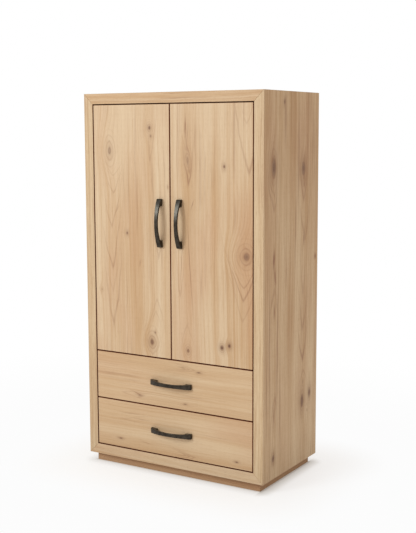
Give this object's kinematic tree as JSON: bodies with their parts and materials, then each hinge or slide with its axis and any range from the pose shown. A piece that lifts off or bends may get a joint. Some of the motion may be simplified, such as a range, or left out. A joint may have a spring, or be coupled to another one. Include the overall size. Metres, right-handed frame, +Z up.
{
  "type": "armoire",
  "caption": "Freestanding oak armoire with flush inset doors and drawers, arched metal pulls, a mitred case and a recessed plinth.",
  "frame": {"origin": "on the floor, under the middle of the overall width and depth with the handles", "axes": "+X across the width to the viewer's right, +Y from the door side to the back panel, +Z up"},
  "size_m": [1.016, 0.6184, 1.88],
  "materials": {
    "oak_case": "satin clear lacquer on light rustic oak",
    "oak_front": "satin clear lacquer on light rustic oak",
    "oak_plinth": "satin clear lacquer on light rustic oak",
    "birch": "sealed solid birch",
    "plywood": "sealed plywood",
    "dark_metal": "satin dark bronze",
    "zinc_steel": "bright zinc plate",
    "nickel_steel": "satin nickel plate"
  },
  "bodies": {
    "case": {"case_side_left": "oak_case", "case_side_right": "oak_case", "case_top": "oak_case", "case_bottom": "oak_case", "back_panel": "plywood", "deck": "oak_case", "hat_shelf": "oak_case", "plinth_front": "oak_plinth", "plinth_back": "oak_plinth", "plinth_left": "oak_plinth", "plinth_right": "oak_plinth", "hanging_rod": "nickel_steel", "rod_socket_left": "nickel_steel", "rod_socket_right": "nickel_steel", "hinge_left_top_arm": "nickel_steel", "hinge_left_middle_arm": "nickel_steel", "hinge_left_bottom_arm": "nickel_steel", "hinge_right_top_arm": "nickel_steel", "hinge_right_middle_arm": "nickel_steel", "hinge_right_bottom_arm": "nickel_steel", "upper_drawer_slide_left_case": "zinc_steel", "upper_drawer_slide_right_case": "zinc_steel", "lower_drawer_slide_left_case": "zinc_steel", "lower_drawer_slide_right_case": "zinc_steel"},
    "door_left": {"door_left": "oak_front", "door_handle_left": "dark_metal", "hinge_left_top_cup": "nickel_steel", "hinge_left_middle_cup": "nickel_steel", "hinge_left_bottom_cup": "nickel_steel"},
    "hinge_fork_left": {"hinge_left_middle_fork": "zinc_steel"},
    "hinge_hook_left": {"hinge_left_middle_hook": "zinc_steel"},
    "door_right": {"door_right": "oak_front", "door_handle_right": "dark_metal", "hinge_right_top_cup": "nickel_steel", "hinge_right_middle_cup": "nickel_steel", "hinge_right_bottom_cup": "nickel_steel"},
    "hinge_fork_right": {"hinge_right_middle_fork": "zinc_steel"},
    "hinge_hook_right": {"hinge_right_middle_hook": "zinc_steel"},
    "upper_drawer": {"upper_drawer_front": "oak_front", "upper_drawer_box_front": "birch", "upper_drawer_box_back": "birch", "upper_drawer_box_left": "birch", "upper_drawer_box_right": "birch", "upper_drawer_box_bottom": "plywood", "upper_drawer_handle": "dark_metal", "upper_drawer_slide_left_drawer": "zinc_steel", "upper_drawer_slide_right_drawer": "zinc_steel"},
    "upper_slide_middle": {"upper_drawer_slide_left_middle": "zinc_steel", "upper_drawer_slide_right_middle": "zinc_steel"},
    "lower_drawer": {"lower_drawer_front": "oak_front", "lower_drawer_box_front": "birch", "lower_drawer_box_back": "birch", "lower_drawer_box_left": "birch", "lower_drawer_box_right": "birch", "lower_drawer_box_bottom": "plywood", "lower_drawer_handle": "dark_metal", "lower_drawer_slide_left_drawer": "zinc_steel", "lower_drawer_slide_right_drawer": "zinc_steel"},
    "lower_slide_middle": {"lower_drawer_slide_left_middle": "zinc_steel", "lower_drawer_slide_right_middle": "zinc_steel"}
  },
  "joints": [
    {"name": "door_left_swing", "type": "hinge", "parent": "case", "child": "door_left", "pos_m": [-0.452, -0.26485, 1.2075], "axis": [0, 0, -1], "range_deg": [0, 105]},
    {"name": "hinge_fork_left_swing", "type": "hinge", "parent": "case", "child": "hinge_fork_left", "pos_m": [-0.44, -0.23385, 1.2075], "axis": [0, 0, -1], "range_deg": [0, 105]},
    {"name": "hinge_hook_left_swing", "type": "hinge", "parent": "door_left", "child": "hinge_hook_left", "pos_m": [-0.432, -0.24885, 1.2075], "axis": [0, 0, -1], "range_deg": [-105, 0]},
    {"name": "door_right_swing", "type": "hinge", "parent": "case", "child": "door_right", "pos_m": [0.452, -0.26485, 1.2075], "axis": [0, 0, 1], "range_deg": [0, 105]},
    {"name": "hinge_fork_right_swing", "type": "hinge", "parent": "case", "child": "hinge_fork_right", "pos_m": [0.44, -0.23385, 1.2075], "axis": [0, 0, 1], "range_deg": [0, 105]},
    {"name": "hinge_hook_right_swing", "type": "hinge", "parent": "door_right", "child": "hinge_hook_right", "pos_m": [0.432, -0.24885, 1.2075], "axis": [0, 0, 1], "range_deg": [-105, 0]},
    {"name": "upper_drawer_travel", "type": "slide", "parent": "case", "child": "upper_drawer", "axis": [0, -1, 0], "range_m": [0, 0.43]},
    {"name": "upper_slide_middle_travel", "type": "slide", "parent": "case", "child": "upper_slide_middle", "axis": [0, -1, 0], "range_m": [0, 0.215]},
    {"name": "lower_drawer_travel", "type": "slide", "parent": "case", "child": "lower_drawer", "axis": [0, -1, 0], "range_m": [0, 0.43]},
    {"name": "lower_slide_middle_travel", "type": "slide", "parent": "case", "child": "lower_slide_middle", "axis": [0, -1, 0], "range_m": [0, 0.215]}
  ],
  "couplings": [
    {"joint": "hinge_fork_left_swing", "follows": "door_left_swing", "ratio": 1},
    {"joint": "hinge_hook_left_swing", "follows": "door_left_swing", "ratio": -1},
    {"joint": "hinge_fork_right_swing", "follows": "door_right_swing", "ratio": 1},
    {"joint": "hinge_hook_right_swing", "follows": "door_right_swing", "ratio": -1},
    {"joint": "upper_slide_middle_travel", "follows": "upper_drawer_travel", "ratio": 0.5},
    {"joint": "lower_slide_middle_travel", "follows": "lower_drawer_travel", "ratio": 0.5}
  ]
}
